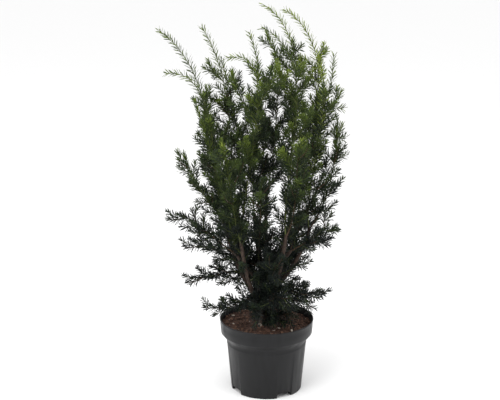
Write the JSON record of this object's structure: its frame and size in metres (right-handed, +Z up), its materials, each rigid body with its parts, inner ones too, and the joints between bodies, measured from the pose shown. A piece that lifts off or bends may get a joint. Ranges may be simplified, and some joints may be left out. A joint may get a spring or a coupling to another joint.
{
  "type": "potted yew",
  "caption": "Upright bushy hillii hybrid yew, with needled shoots rising from a short trunk and its boughs, growing in a round black nursery pot.",
  "frame": {"origin": "middle of the flat underside of the pot, on the ground", "axes": "+Z up along the plant, -Y towards the side seen in the picture, +X to the right of it"},
  "size_m": [0.5035, 0.4421, 1.066],
  "materials": {
    "pot_plastic": "moulded black plastic with a soft sheen",
    "potting_mix": "damp brown potting mix with bark chips and pale grains",
    "bark": "thin flaking red-brown bark",
    "fresh_needles": "soft yellow-green new growth",
    "green_needles": "slightly glossy mid-green needles",
    "dark_needles": "slightly glossy blackish green needles"
  },
  "bodies": {
    "root": {"pot": "pot_plastic", "growing_medium": "potting_mix", "trunk": "bark", "bough_far_left": "bark", "bough_left": "bark", "bough_back_left": "bark", "bough_front_left": "bark", "bough_front_right": "bark", "bough_right": "bark", "bough_far_right": "bark", "bough_back_right": "bark", "bough_back": "bark", "bough_low_left": "bark", "bough_low_right": "bark", "foliage_top": "fresh_needles", "foliage_top_right": "fresh_needles", "foliage_top_middle": "fresh_needles", "foliage_centre": "fresh_needles", "foliage_arching": "fresh_needles", "foliage_left": "fresh_needles", "foliage_far_left": "fresh_needles", "foliage_left_reach": "green_needles", "foliage_left_shoulder": "green_needles", "foliage_right": "fresh_needles", "foliage_right_shoulder": "green_needles", "foliage_far_right": "fresh_needles", "foliage_front_left": "green_needles", "foliage_front_right": "green_needles", "foliage_front_centre": "green_needles", "foliage_left_middle": "green_needles", "foliage_right_middle": "green_needles", "foliage_back_left": "green_needles", "foliage_back": "fresh_needles", "foliage_back_left_shoulder": "green_needles", "foliage_back_right_shoulder": "green_needles", "foliage_back_middle": "green_needles", "foliage_low_left_upper": "dark_needles", "foliage_low_left_middle": "dark_needles", "foliage_low_left_lower": "dark_needles", "foliage_low_left_foot": "dark_needles", "foliage_low_right_upper": "dark_needles", "foliage_low_right_middle": "dark_needles", "foliage_low_right_lower": "dark_needles", "foliage_low_right_foot": "dark_needles", "foliage_low_front": "dark_needles", "foliage_low_front_left": "dark_needles", "foliage_low_front_right": "dark_needles", "foliage_foot_front": "dark_needles", "foliage_foot_right": "dark_needles", "foliage_low_back_left": "dark_needles", "foliage_low_back_right": "dark_needles", "foliage_low_back": "dark_needles"}
  },
  "joints": []
}
